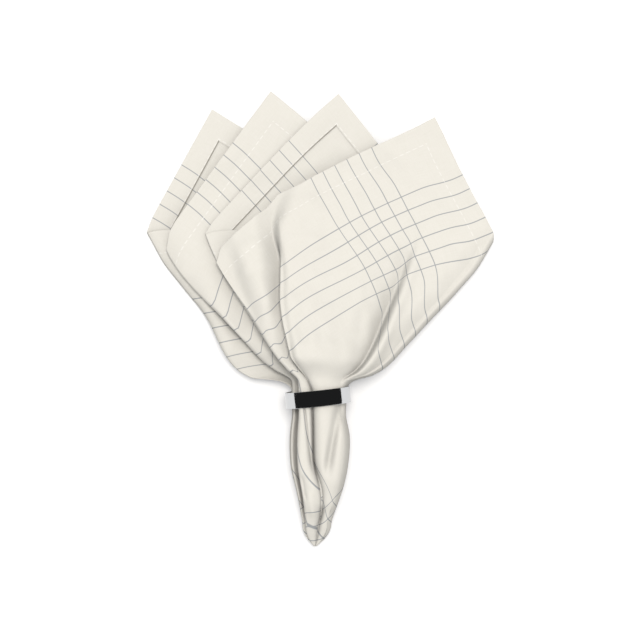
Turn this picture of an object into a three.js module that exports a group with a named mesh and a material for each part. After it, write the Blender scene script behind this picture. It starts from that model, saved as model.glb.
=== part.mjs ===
// A square cloth napkin, pinched at its middle, pleated and drawn through a plain metal ring.
// It lies on its back on the table, z = 0. The fan of points reaches towards +Y, the pinched tail towards -Y.
import * as THREE from 'three';
import { mergeVertices } from 'three/addons/utils/BufferGeometryUtils.js';

// Cloth, in millimetres
const HALF_SIDE = 225; // half of the napkin's hemmed side
const CLOTH = 1.0; // thickness of the sheet
const TIP_RADIUS = 27; // closer to the tip than this, one section only shrinks
const LAYERS = 7; // the front layer's number, the back layer is 0
const RIM_START = 224; // beyond this distance from the tip, rows fan out to the square's edge

// Ring, in millimetres
const RING = { outer: 22.5, wall: 1.2, band: 11, edge: 0.4, x: 2.1, y: 104.5, turn: 6, sides: 56 };

const DEG = Math.PI / 180;

// Rows of values as objects with named columns
function table(columns, rows) {
  return rows.map((row) => Object.fromEntries(columns.map((column, i) => [column, row[i]])));
}

// Folds in order round the napkin's middle, angles in degrees.
// cloth: direction on the flat napkin. fan: direction in the fan, 0 along +Y, positive to the right.
// neck: the same direction before the bundle is squeezed, in the ring and the tail.
// before, after: layer numbers on either side of the fold. nest: steps by which it lies inside the others.
// puff: extra width just above the ring. slack: extra cloth taken up between the tip and the fold. Both in mm.
const FOLDS = table(['name', 'cloth', 'fan', 'neck', 'before', 'after', 'nest', 'puff', 'slack'], [
  ['right edge', 30.4, 30.7, 30.7, 0, 7, 0, 7, 0],
  ['front left', 78.5, -17.4, -17.4, 7, 6, -0.5, 0, 5],
  ['front tuck', 94.9, -1.2, -1.2, 6, 5, 2.2, 0, 2],
  ['third left', 112.8, -18.3, -18.3, 5, 4, -0.3, 0, 2],
  ['third right', 161.7, 30.2, 30.2, 6, 1, 1, 5, 0],
  ['inner flap', 175.8, 15.7, 12, 1, 2, 0, 0, 0],
  ['second right', 189.9, 30.0, 30.0, 2, 5, 2, 4, 0],
  ['second left', 245.0, -25.3, -24, 3, 2, 0, 0, 0],
  ['back tuck', 271.3, 1.0, 1.0, 2, 1, 3.2, 0, 0],
  ['left edge', 300.15, -28.2, -24, 1, 0, 0, 17, -4],
  ['back right', 357.75, 29.8, 30, 4, 3, 3, 3, 0],
  ['outer flap', 374.1, 14.2, 6.5, 3, 0, 0, 0, 0],
]);

// Width of one nesting step in mm, at the tip and from the tail's middle on
const NEST_STEP = { tip: 1.6, body: 2.6 };
// Where the cloth bulges above the ring, as distances from the tip
const PUFF = { from: 117, peak: 130, to: 188 };
// Where the front panel's right valley runs, as distances from the tip
const VALLEY = { from: 116, peak: 140, to: 215 };
// Blunt edges of the section: half their height in the fan, and as a share of the height in the neck
const EDGE = { fan: 6.2, neckShare: 0.24 };
// Longest reach of a fold's bend, and the least
const BEND = { most: 4, least: 0.3 };

// The bundle's size at stations along it, radius measured from the tip.
// squeeze: share of the fan angle left. turn: sideways lean. top, bottom: heights of the outer layers.
// round: 2 for a round bundle, 8 for a flat stack. crease: depth of the front crease or height of its step.
// soft, valley: fan angles of the front panel's soft step and of its right valley.
const STATIONS = table(['radius', 'squeeze', 'turn', 'top', 'bottom', 'round', 'crease', 'soft', 'valley'], [
  [0, 1.9, 0.5, 9.5, 8.5, 2, 0, -4, 24],
  [5, 1.7, 0.5, 13, 5.5, 2, 0, -4, 24],
  [10, 1.4, 0.6, 17, 4, 2, 0, -4, 24],
  [20, 1.03, 0.8, 24, 3, 2, 2, -4, 24],
  [34, 0.82, 1.2, 31, 2.7, 2, 4.5, -4, 24],
  [60, 0.64, 1.5, 38, 2.6, 2, 7, -4, 24],
  [80, 0.5, 1.4, 41, 2.5, 2, 6.5, -4.6, 24],
  [96, 0.37, 0.9, 42.6, 2.9, 2, 6, -5, 24],
  [104, 0.35, 0.8, 42.6, 2.9, 2, 5, -5.5, 24],
  [116, 0.32, 0.8, 42.6, 2.9, 2, 5, -6, 24],
  [126, 0.5, 0.7, 39.5, 1.2, 2.2, 5, -8.5, 23.5],
  [134, 0.61, 0.5, 36, 0.6, 2.5, 5, -10, 22.6],
  [148, 0.73, 0.3, 31, 0.5, 3, 4.5, -10, 21],
  [169, 0.85, 0.1, 25, 0.5, 4, 4, -9, 19.4],
  [186, 0.92, 0, 20, 0.5, 5, 3, -7.8, 18.6],
  [204, 0.965, 0, 16, 0.5, 6, 1.5, -7.6, 18],
  [228, 1, 0, 13.3, 0.5, 8, 0, -7.6, 17.6],
  [330, 1, 0, 11.7, 0.5, 8, 0, -7.6, 21],
]);

// Fan angles between which the layers rise from their places on the left to those on the right
const RISE_NECK = [-12, 4];
const RISE_FAN = [0.5, 14];

// Rows of the sheet, as distances from the tip along the cloth, then as shares of the way to the edge
const INNER_ROWS = [27, 36, 48, 62, 78, 93, 105, 115, 119, 123, 127, 131, 136, 143, 152, 163, 178, 196, 212, 224];
const RIM_ROWS = [0.5, 1];
const TIP_ROWS = [5, 11, 19];

// Interior columns of each panel, by the fan angle they pass at
const PANEL_STOPS = [
  [25, 'valley+', 'valley', 'valley-', 'corner', 8, 'soft+', 'soft', 'soft-', -14],
  [-9],
  [-9],
  [-8, 0.5, 'corner', 7, 14, 22],
  [22],
  [22],
  [22, 14, 7, 0.5, 'corner', -15],
  [-16, -7],
  [-7, -16],
  [-21, 'corner', -6, 0.5, 5, 9.5, 14, 22],
  [22],
  [22],
];
const CORNERS = [45, null, null, 135, null, null, 225, null, null, 315, null, null];
// Steps through the two halves of a fold's bend, as shares of a quarter turn
const BEND_AFTER = [0, 0.5, 1];
const BEND_BEFORE = [0, 0.5];

function smooth(from, to, value) {
  const t = Math.min(Math.max((value - from) / (to - from), 0), 1);
  return t * t * (3 - 2 * t);
}

function lerp(a, b, t) {
  return a + (b - a) * t;
}

// Rises from 0 to 1 at the peak and falls back to 0
function swell({ from, peak, to }, value) {
  return value < peak ? smooth(from, peak, value) : 1 - smooth(peak, to, value);
}

// Slope of a station column at a row, kept level where the column turns
function slopeAt(key, row) {
  if (row === 0 || row === STATIONS.length - 1) return 0;
  const [low, mid, high] = [STATIONS[row - 1], STATIONS[row], STATIONS[row + 1]];
  const before = (mid[key] - low[key]) / (mid.radius - low.radius);
  const after = (high[key] - mid[key]) / (high.radius - mid.radius);
  return before * after <= 0 ? 0 : (2 * before * after) / (before + after);
}

// All station columns at one radius, on a smooth curve through the rows
function stationAt(radius) {
  const last = STATIONS.length - 2;
  let row = 0;
  while (row < last && radius > STATIONS[row + 1].radius) row += 1;
  const [low, high] = [STATIONS[row], STATIONS[row + 1]];
  const step = high.radius - low.radius;
  const t = Math.min(Math.max((radius - low.radius) / step, 0), 1);
  const station = { radius };
  for (const key of Object.keys(low)) {
    if (key === 'radius') continue;
    const start = low[key] * (1 + 2 * t) * (1 - t) ** 2 + slopeAt(key, row) * step * t * (1 - t) ** 2;
    const end = high[key] * (3 - 2 * t) * t ** 2 - slopeAt(key, row + 1) * step * t ** 2 * (1 - t);
    station[key] = start + end;
  }
  return station;
}

// 0 where the bundle is squeezed round, 1 where it lies open as a fan
function neckToFan(radius) {
  return smooth(118, 155, radius);
}

function foldAt(index) {
  return FOLDS[index % FOLDS.length];
}

// Direction of the next fold on the flat napkin, counted on past a full turn
function nextCloth(index) {
  return foldAt(index + 1).cloth + (index === FOLDS.length - 1 ? 360 : 0);
}

// Folds on the right point to +X, those on the left to -X
function sideOf(index) {
  return index % 2 === 0 ? 1 : -1;
}

function acrossAt(station, fanAngle) {
  return station.radius * Math.sin((station.squeeze * fanAngle + station.turn) * DEG);
}

function foldAcross(station, index) {
  const fold = foldAt(index);
  const { radius } = station;
  const nested = fold.nest * lerp(NEST_STEP.tip, NEST_STEP.body, smooth(16, 70, radius));
  const puff = fold.puff * swell(PUFF, radius);
  return acrossAt(station, lerp(fold.neck, fold.fan, neckToFan(radius))) + sideOf(index) * (puff - nested);
}

// Height of a layer at one place across the bundle
function layerHeight(station, x, layer) {
  const { radius, top, bottom, round, centre, left, right } = station;
  const reach = Math.min(x < centre ? (centre - x) / left : (x - centre) / right, 1);
  const half = (top - bottom) / 2;
  const edgeHalf = lerp(EDGE.neckShare * half, Math.min(EDGE.fan, half), smooth(2, 3.5, round));
  const here = (half ** round * (1 - reach ** round) + (edgeHalf * reach) ** round) ** (1 / round);
  // beyond the front layers' left folds, the layers left over fill the round bundle
  const from = (0.79 - 0.035 * layer) * left;
  const fanned = smooth(230, 150, radius) * smooth(116, 150, radius);
  const spread = fanned * smooth(-from, -from - 0.2 * left, x - centre);
  const share = Math.min(layer / (LAYERS - 4 * spread), 1);
  const floor = bottom + (half - here) * smooth(6, 3.5, round);
  return floor + 2 * here * share;
}

function sectionAt(radius) {
  const station = stationAt(radius);
  station.centre = acrossAt(station, 0);
  station.right = foldAcross(station, 0) - station.centre + 0.3;
  station.left = (station.centre - foldAcross(station, 9)) * lerp(1.25, 1.01, neckToFan(radius));
  station.soften = 2.2 + 0.02 * radius;
  return station;
}

// Lift of the front panel: a crown right of the soft step, a valley near the right edge, a groove in the tail
function frontLift(station, x) {
  const { radius, crease, soft, valley, centre, right, soften } = station;
  const fan = smooth(118, 140, radius);
  const stepX = acrossAt(station, soft);
  const valleyX = acrossAt(station, valley);
  const edge = smooth(0, 14, right - (x - centre));
  const crown = crease * 1.2 * fan * edge;
  const groove = crease * (1 - fan) * Math.exp(-(((x - stepX) / soften) ** 2));
  const dip = Math.exp(-(((x - valleyX) / (soften * 1.6)) ** 2)) * swell(VALLEY, radius);
  const step = crown * smooth(stepX - soften * 1.3, stepX + soften * 1.3, x);
  return step - groove - Math.min(crown * 1.1, 5) * dip;
}

// One panel of the section, between two folds: where it starts and ends, and how long its bends are
function panelAt(station, clothRadius, index) {
  const ends = [0, 1].map((end) => {
    const fold = foldAt(index + end);
    const x = foldAcross(station, index + end);
    const heights = [layerHeight(station, x, fold.before), layerHeight(station, x, fold.after)];
    return { x, middle: (heights[0] + heights[1]) / 2, half: Math.abs(heights[0] - heights[1]) / 2 };
  });
  const span = Math.abs(ends[1].x - ends[0].x);
  const turn = nextCloth(index) - FOLDS[index].cloth;
  const length = clothRadius * turn * DEG;
  for (const end of ends) {
    end.depth = Math.min(Math.max(end.half, BEND.least), BEND.most, span * 0.34);
    end.bend = (Math.PI / 2) * Math.hypot(end.depth, end.half) * Math.SQRT1_2;
  }
  const shrink = Math.min(1, (0.8 * length) / (ends[0].bend + ends[1].bend));
  for (const end of ends) end.bend *= shrink;
  const first = FOLDS[index];
  const layers = [first.after, foldAt(index + 1).before];
  return { index, ends, span, sign: Math.sign(ends[1].x - ends[0].x), length, turn, layers };
}

// Point on a panel. part is start, middle or end, t runs from 0 to 1 through that part.
function panelPoint(station, panel, part, t) {
  const [a, b] = panel.ends;
  const straight = panel.span - a.depth - b.depth;
  const quarter = (t * Math.PI) / 2;
  let along = a.depth + straight * t;
  let length = a.bend + (panel.length - a.bend - b.bend) * t;
  if (part === 'start') {
    along = a.depth * (1 - Math.cos(quarter));
    length = a.bend * t;
  }
  if (part === 'end') {
    along = panel.span - b.depth * (1 - Math.sin(quarter));
    length = panel.length - b.bend * (1 - t);
  }
  const x = a.x + panel.sign * along;
  const fanned = neckToFan(station.radius);
  const [from, to] = RISE_NECK.map((neck, end) => acrossAt(station, lerp(neck, RISE_FAN[end], fanned)));
  const toRight = smooth(from, to, x);
  const change = panel.sign > 0 ? toRight : 1 - toRight;
  let z = layerHeight(station, x, lerp(panel.layers[0], panel.layers[1], change));
  if (panel.index === 0) z += frontLift(station, x);
  if (part === 'start') z = lerp(a.middle, z, Math.sin(quarter));
  if (part === 'end') z = lerp(b.middle, z, Math.cos(quarter));
  return { x, z, cloth: FOLDS[panel.index].cloth + (panel.turn * length) / panel.length };
}

// Distance from the tip in the plan, after the cloth taken up by the bundle's rise and bends
function planRadius(clothRadius, cloth) {
  let index = FOLDS.length - 1;
  while (index > 0 && cloth < FOLDS[index].cloth) index -= 1;
  const fold = FOLDS[index];
  const next = foldAt(index + 1);
  const share = (cloth - fold.cloth) / (nextCloth(index) - fold.cloth);
  const fan = lerp(fold.fan, next.fan, share);
  const slack = 0.9 + 0.5 * Math.sqrt(fan ** 2 + 9) + lerp(fold.slack, next.slack, share);
  return clothRadius - slack * smooth(0, 230, clothRadius);
}

function edgeRadius(cloth) {
  return HALF_SIDE / Math.max(Math.abs(Math.cos(cloth * DEG)), Math.abs(Math.sin(cloth * DEG)));
}

// Columns of the sheet: the bends of every fold and the stops between them
function sheetColumns() {
  const columns = [];
  FOLDS.forEach((fold, index) => {
    for (const t of BEND_AFTER) columns.push({ index, part: 'start', t });
    PANEL_STOPS[index].forEach((stop, order) => columns.push({ index, part: 'middle', stop, order }));
    for (const t of BEND_BEFORE) columns.push({ index, part: 'end', t });
  });
  return columns;
}

// Share of a panel's straight part at which a stop lies
function stopShare(station, panel, stop) {
  const [a, b] = panel.ends;
  if (stop === 'corner') {
    const length = (panel.length * (CORNERS[panel.index] - FOLDS[panel.index].cloth)) / panel.turn;
    return (length - a.bend) / (panel.length - a.bend - b.bend);
  }
  const shift = { 'valley+': 1.7, 'valley-': -1.7, 'soft+': 1.3, 'soft-': -1.3 }[stop] ?? 0;
  let x = acrossAt(station, stop);
  if (typeof stop === 'string') {
    const crease = stop.startsWith('soft') ? station.soft : station.valley;
    x = acrossAt(station, crease) + shift * station.soften;
  }
  return (panel.sign * (x - a.x) - a.depth) / (panel.span - a.depth - b.depth);
}

// Keeps the stops of one panel in order and apart, more so where the bundle is narrow
function columnShares(station, panel, stops) {
  const gap = lerp(0.6, 0.3, smooth(150, 220, station.radius)) / (stops.length + 1);
  const shares = stops.map((stop) => stopShare(station, panel, stop));
  for (let i = 0; i < shares.length; i += 1) {
    const low = (i === 0 ? 0 : shares[i - 1]) + gap;
    shares[i] = Math.min(Math.max(shares[i], low), 1 - gap * (shares.length - i));
  }
  return shares;
}

function rowPoint(row, column) {
  let cloth = FOLDS[column.index].cloth;
  let found = null;
  for (let pass = 0; pass < 4; pass += 1) {
    const clothRadius = row.inner ?? lerp(RIM_START, edgeRadius(cloth), row.rim);
    const radius = Math.max(planRadius(clothRadius, cloth), TIP_RADIUS);
    const station = sectionAt(radius);
    const panel = panelAt(station, clothRadius, column.index);
    let t = column.t;
    if (column.part === 'middle') t = columnShares(station, panel, PANEL_STOPS[column.index])[column.order];
    found = { radius, ...panelPoint(station, panel, column.part, t) };
    cloth = found.cloth;
  }
  const { radius, x, z } = found;
  const bow = radius - Math.sqrt(Math.max(radius ** 2 - x ** 2, 0));
  return new THREE.Vector3(x, radius - bow * smooth(20, 70, radius), z);
}

// Middle surface of the sheet as rows of points
function sheetRows(columns) {
  const rows = [...INNER_ROWS.map((inner) => ({ inner })), ...RIM_ROWS.map((rim) => ({ rim }))];
  return rows.map((row) => columns.map((column) => rowPoint(row, column)));
}

// One face of the sheet: each row's curve moved sideways within the row
function offsetRows(rows, distance) {
  const count = rows[0].length;
  return rows.map((row) =>
    row.map((point, j) => {
      const across = row[(j + 1) % count].clone().sub(row[(j + count - 1) % count]);
      const normal = new THREE.Vector3(across.z, 0, -across.x).normalize();
      return point.clone().addScaledVector(normal, distance);
    }),
  );
}

// Rows of the closed tip, the first section shrunk towards the apex
function tipRow(first, radius) {
  const [from, to] = [stationAt(TIP_RADIUS), stationAt(radius)];
  const wide = (s) => s.radius * Math.sin(Math.min(29 * s.squeeze, 88) * DEG);
  const middle = (s) => (s.top + s.bottom) / 2;
  const centre = TIP_RADIUS * Math.sin(from.turn * DEG);
  const shrinkX = wide(to) / wide(from);
  const shrinkZ = (to.top - to.bottom) / (from.top - from.bottom);
  return first.map(
    (p) =>
      new THREE.Vector3(
        (centre * radius) / TIP_RADIUS + (p.x - centre) * shrinkX,
        p.y - TIP_RADIUS + radius,
        middle(to) + (p.z - middle(from)) * shrinkZ,
      ),
  );
}

// Joins rows of points into a band of triangles, both faces of the sheet cut along the same diagonals
function stitchRows(triangles, rowCount, columnCount, outerRows) {
  for (let i = 0; i < rowCount - 1; i += 1) {
    for (let j = 0; j < columnCount; j += 1) {
      const [a, b] = [i * columnCount + j, i * columnCount + ((j + 1) % columnCount)];
      const [c, d] = [a + columnCount, b + columnCount];
      triangles.push(...(i < outerRows ? [a, c, b, b, c, d] : [a, c, d, a, d, b]));
    }
  }
}

function napkinGeometry() {
  const columns = sheetColumns();
  const middle = sheetRows(columns);
  const outside = offsetRows(middle, CLOTH / 2);
  const inside = offsetRows(middle, -CLOTH / 2);
  const tips = TIP_ROWS.map((radius) => tipRow(outside[0], radius));
  const shell = [...tips, ...outside];
  const apex = new THREE.Vector3(0, 0, stationAt(0).top);
  const points = [...shell.flat(), ...[...inside].reverse().flat(), apex];
  const triangles = [];
  const count = columns.length;
  stitchRows(triangles, shell.length + inside.length, count, shell.length);
  // the apex closes the outer face, a flat floor inside the tip closes the inner one
  for (let j = 0; j < count; j += 1) triangles.push(points.length - 1, j, (j + 1) % count);
  const floorStart = points.length - 1 - count;
  const floor = inside[0].map((p) => new THREE.Vector2(p.x, p.z));
  for (const [a, b, c] of THREE.ShapeUtils.triangulateShape(floor, [])) {
    triangles.push(floorStart + a, floorStart + c, floorStart + b);
  }
  const geometry = new THREE.BufferGeometry().setFromPoints(points);
  geometry.setIndex(triangles);
  return geometry;
}

// A closed band section turned about the ring's axis, then laid along the bundle
function ringGeometry() {
  const inner = RING.outer - RING.wall;
  const half = RING.band / 2;
  const { outer, edge } = RING;
  const corners = [
    [inner + edge, -half],
    [outer - edge, -half],
    [outer, -half + edge],
    [outer, half - edge],
    [outer - edge, half],
    [inner + edge, half],
    [inner, half - edge],
    [inner, -half + edge],
    [inner + edge, -half],
  ];
  const profile = corners.map(([radius, height]) => new THREE.Vector2(radius, height));
  const geometry = new THREE.LatheGeometry(profile, RING.sides, Math.PI / RING.sides);
  geometry.deleteAttribute('normal');
  geometry.deleteAttribute('uv');
  return mergeVertices(geometry, 1e-4);
}

const cotton = new THREE.MeshStandardMaterial({ color: 0xeeeae0, roughness: 0.95, metalness: 0 });
const polishedSteel = new THREE.MeshStandardMaterial({ color: 0xc9ccd0, roughness: 0.12, metalness: 1 });

const napkin = new THREE.Mesh(napkinGeometry(), cotton);
napkin.name = 'napkin';

const ring = new THREE.Mesh(ringGeometry(), polishedSteel);
ring.name = 'napkin_ring';
ring.rotation.z = RING.turn * DEG;
ring.position.set(RING.x, RING.y, RING.outer * Math.cos(Math.PI / RING.sides));

const object = new THREE.Group();
object.add(napkin, ring);

// The origin lies under the middle of the whole
const box = new THREE.Box3().setFromObject(object, true);
object.position.set(-(box.min.x + box.max.x) / 2, -(box.min.y + box.max.y) / 2, 0);

export default object;
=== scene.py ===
"""A square cloth napkin, pinched at its middle, pleated into a fan and drawn through a plain metal ring.

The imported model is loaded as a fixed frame. The cloth and the ring are modelled over it,
and lit on a pale floor.
"""

import functools
import math
from collections import namedtuple

import bmesh
import bpy
from mathutils import Matrix, Vector, noise


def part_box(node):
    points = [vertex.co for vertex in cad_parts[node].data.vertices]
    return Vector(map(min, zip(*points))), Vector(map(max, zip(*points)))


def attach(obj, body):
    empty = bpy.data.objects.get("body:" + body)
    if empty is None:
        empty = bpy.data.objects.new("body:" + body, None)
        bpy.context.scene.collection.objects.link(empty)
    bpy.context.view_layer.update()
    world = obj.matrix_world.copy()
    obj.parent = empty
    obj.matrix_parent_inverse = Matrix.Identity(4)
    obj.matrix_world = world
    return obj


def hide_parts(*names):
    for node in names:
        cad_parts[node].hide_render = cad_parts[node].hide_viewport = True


bl_info = {
    "name": "Cloth napkin in a ring",
    "version": (1, 0, 0),
    "blender": (4, 5, 0),
    "location": "3D View > Sidebar > Napkin",
    "description": "Models a folded cloth napkin drawn through a metal ring, and lights it on a pale floor",
    "category": "Object",
}

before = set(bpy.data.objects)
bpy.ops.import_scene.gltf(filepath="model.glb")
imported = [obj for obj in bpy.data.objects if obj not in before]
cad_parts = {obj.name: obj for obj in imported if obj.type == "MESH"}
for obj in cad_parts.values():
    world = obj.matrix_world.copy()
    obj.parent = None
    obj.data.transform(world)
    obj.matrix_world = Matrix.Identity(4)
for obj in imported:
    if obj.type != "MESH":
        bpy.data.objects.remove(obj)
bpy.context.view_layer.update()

MM = 0.001
DEG = math.pi / 180

# Ring, in millimetres. Its centre in the plan is measured from the napkin's pinched tip.
RING_CENTRE = Vector((2.1, 104.5, 22.5))
RING_TURN = 6
RING_EDGE = 0.3  # how far its corners are rounded off
RING_STEPS = 160
RING_LOW, RING_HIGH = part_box("napkin_ring")
RING_MIDDLE = (Vector(RING_LOW) + Vector(RING_HIGH)) / (2 * MM)
# The napkin's pinched tip on the table, in millimetres in the frame
TIP = Vector((RING_MIDDLE.x - RING_CENTRE.x, RING_MIDDLE.y - RING_CENTRE.y, 0))

# Cloth, in millimetres
HALF_SIDE = 225
HEM = 15.5
HEM_HALF = 0.28  # half of the gap between the cloth and its turned hem
CUT_SIDE = 2 * (HALF_SIDE + HEM)
LINE_SPACING = 10.2
CLOSE_SPACING = 9.25  # the lines one way lie closer over half of the cloth, as they were beaten in
LAST_LINE = 94.3  # from the hem's fold to the innermost of the six border lines
LINE_CORE, LINE_EDGE = 0.15, 0.5  # where a line is full and where it ends, either side of its middle
# In line spacings: from the innermost border line to the middle of all six, and reach either side of it
BORDER_MIDDLE, BAND_REACH = 2.5, 2.8
EDGE_SHADOW_OFF = 0.35  # how far the painted shadow line lies inside the hem's turned edge
EDGE_SHADOW_CORE, EDGE_SHADOW_FADE = 0.2, 0.5  # where that line is full and where it ends, either side of its middle
STITCH_ROW = 14.3
STITCH_LENGTH = 2.4
STITCH_CORE, STITCH_FADE = 0.15, 0.45
YARN_SPACING = 1.2  # yarns 0.5 mm apart are too fine to show, so the weave is drawn coarser
# How far the check lines, the painted shadow at the hem's turned edge and the stitches cover the cloth's colour
LINE_STRENGTH = 0.74
EDGE_SHADOW_STRENGTH = 0.9
STITCH_STRENGTH = 0.5
TIP_RADIUS = 16
RIM_START = 196
LAYERS = 7

# Folds in order round the napkin's middle, angles in degrees.
# cloth: direction on the flat napkin. fan: direction in the fan, 0 along +Y, positive to the right.
# neck: the same direction before the bundle is squeezed, in the ring and the tail.
# before, after: layer numbers on either side of the fold. nest: steps by which it lies inside the others.
# puff: extra width just above the ring. slack: extra cloth taken up between the tip and the fold.
# deep: slack that the cloth takes up below its hem. roll: how far the hem dips where it wraps round the fold.
# flare: how far the fold swings out near the rim. These five are in mm.
# slide: degrees by which the cloth has slid round the fold above the ring.
Fold = namedtuple("Fold", "name cloth fan neck before after nest puff slack deep roll flare slide")
FOLDS = [
    Fold("right edge", 30.4, 30.3, 32, 0, 7, 0, 4, 0, 0, 1.5, 0, -5),
    Fold("front left", 79.0, -17.8, -18, 7, 6, -0.5, 0, 4.6, 0, 7, 4.5, 0),
    Fold("front tuck", 94.9, -1.2, -1.2, 6, 5, 2.2, 0, 2, 0, 0, 0, 0),
    Fold("third left", 112.5, -18.5, -18.3, 5, 4, -0.3, 0, 2, 0, 2, 2, 0),
    Fold("third right", 161.7, 30.2, 31.5, 6, 1, 1, 5, 0, 0, 0, 0, 0),
    Fold("inner flap", 175.8, 15.7, 12, 1, 2, 0, 0, 0, 0, 0, 0, 0),
    Fold("second right", 189.9, 30.0, 31.3, 2, 5, 2, 4, 0, 0, 0, 0, 0),
    Fold("second left", 245.9, -25.5, -27, 3, 2, 0, 0, -4, 7, 7, 4, 3),
    Fold("back tuck", 271.3, 1.0, 1.0, 2, 1, 3.2, 0, 0, 0, 0, 0, 0),
    Fold("left edge", 300.15, -28.2, -28, 1, 0, 0, 16, -4, 4.5, 2, 0, -5),
    Fold("back right", 357.75, 29.8, 31.3, 4, 3, 3, 3, 7, 0, 0, 0, 0),
    Fold("outer flap", 374.1, 14.2, 6.5, 3, 0, 0, 0, 0, 0, 0, 0, 0),
]
ROLL_REACH = 1.3  # degrees of cloth on either side of a fold over which the hem dips

# The front panel's soft fold: the cloth between these two directions turns under and back in a low S
SOFT_FOLD = (65.2, 69.1)
# Directions on the flat napkin that get a column of their own, by panel: its corner and the soft fold's ends
STOPS = {0: (45, *SOFT_FOLD), 3: (135,), 6: (225,), 9: (315,)}

# The bundle's size at stations along it, radius measured from the tip.
# squeeze: share of the fan angle left. turn: sideways lean. top, bottom: heights of the outer layers.
# round: 2 for a round bundle, 8 for a flat stack. crease: depth of the front crease or height of its step.
# soft, valley: fan angles of the front panel's soft step and of its right valley.
Station = namedtuple("Station", "radius squeeze turn top bottom round crease soft valley")
STATIONS = [
    Station(0, 3, 6, 9.5, 8.5, 2, 0, -4, 24),
    Station(5, 2.6, 6, 13, 5.5, 2, 0, -4, 24),
    Station(10, 1.9, 5, 17, 4, 2, 0, -4, 24),
    Station(20, 1.06, 2.4, 24, 3, 2, 2, -4, 24),
    Station(34, 0.82, 2.8, 31, 2.7, 2.4, 4.5, -4, 24),
    Station(60, 0.64, 1.5, 38, 2.6, 2.5, 7, -4, 24),
    Station(80, 0.5, 1.4, 41, 2.5, 2.4, 6.5, -4.6, 24),
    Station(96, 0.37, 0.9, 42.6, 2.9, 2, 6, -5, 24),
    Station(104, 0.35, 0.8, 42.6, 2.9, 2, 5, -5.5, 24),
    Station(116, 0.32, 0.8, 42.6, 2.9, 2, 5, -6, 24),
    Station(126, 0.5, 0.7, 39.5, 1.2, 2.2, 5, -8.5, 23.5),
    Station(134, 0.61, 0.5, 36, 0.6, 2.5, 5, -10, 22.6),
    Station(148, 0.73, 0.3, 31, 0.5, 3, 4.5, -10, 21),
    Station(169, 0.85, 0.1, 25, 0.5, 4, 4, -9, 19.4),
    Station(186, 0.92, 0, 20, 0.5, 5, 3, -7.7, 18.6),
    Station(204, 0.965, 0, 16, 0.5, 6, 1.5, -7.2, 18),
    Station(228, 1, 0, 13.3, 0.5, 8, 0, -7.2, 17.6),
    Station(330, 1, 0, 11.7, 0.5, 8, 0, -7.2, 17.6),
]

# Fan angles between which the layers rise from their places on the left to those on the right
RISE_NECK = (-12, 4)
RISE_FAN = (0.5, 14)
# Where the cloth bulges above the ring: start, peak and end from the tip
PUFF = (110, 126, 188)
# Half height of the bundle at its sides: in the fan, and as a share of the middle's in the neck
EDGE_FAN = 6.2
EDGE_NECK_SHARE = 0.24
LEAST_HEIGHT = 4  # of the bundle under its deepest dip
# Reach of a fold's bend, also held to this share of its panel's width
BEND_MOST = 4
BEND_LEAST = 0.3
BEND_SHARE = 0.34
# Width in mm of a step by which folds lie inside each other, at the tip, and what is added from the tail on
NEST_STEP, NEST_ADDED = 1.6, 1

# Spans over which a shape comes or goes along the bundle, as distances from the tip
FAN_OPENS = (118, 155)
FOLDS_RISE = (118, 145)
FRONT_RISES = (116, 134)
TAIL_STARTS = (16, 70)
FLARE_SPAN = (168, 214)
WAVES_START = (112, 150)

# Heights and depths of the soft shapes
CROWN, WALL, FLANK = 2, 9, 6.5  # front panel: its middle, the ridge beside the soft fold, the puffed left
VALLEY_DEPTH = 8.5
VALLEY_LEFT, VALLEY_RIGHT = 2.1, 0.42  # half widths of the valley's sides, as shares of soften
VALLEY_ROUND = 1.25  # 1 gives the left side a sharp foot, 2 a round one
VALLEY_RIDGE, RIDGE_OFF, RIDGE_WIDTH = 2.4, 6, 3.5  # ridge along the valley's right side
TROUGH_DEPTH = 3.5  # beside the soft fold
FIRST_RISE, SECOND_RISE = 4.8, 3.2  # of the two strips that show at the left
STRIP_CROWN, TAIL_SHOULDER = 3, 4.5
# Shifts of the soft step: right towards the rim, left above the ring, right in the tail
STEP_RIM, STEP_RING, STEP_TAIL = 0.7, 3, 5
# Groove in the tail: half width and share of the crease's depth, of its sharp foot and its soft sides
GROOVE_FOOT, GROOVE_SIDES = (0.9, 0.85), (3.8, 0.4)
RIDGE_FADE, RIDGE_SHARE = 24, 0.65  # of the ridge by the soft fold: how far it fades, and by what share
# Soft fold: its reach and overhang at one distance from the tip, and its reach at the rim
SOFT_SIZE, SOFT_REACH, SOFT_HANG, RIM_REACH = 190, 2.3, 2.8, 4.6
# Cloth the front panel gives back in its middle and at its rim, or takes up on its flank
MIDDLE_BACK, MIDDLE_LESS, RIM_BACK = 5.4, 2.1, 3.8
FLANK_SLACK, FLANK_ADDED = 3, 4
IN_RIM = (0.84, 0.98)  # shares of the way to the cloth's edge over which the rim begins
# Slight waves of the cloth: height, length and place in the noise
WAVES = [(1.4, 19, 4.7), (0.6, 8, 9.1)]
RIPPLE_LEAST, RIPPLE_ADDED = 0.25, 0.9  # ripple of the front panel, and what is added above the ring
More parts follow.
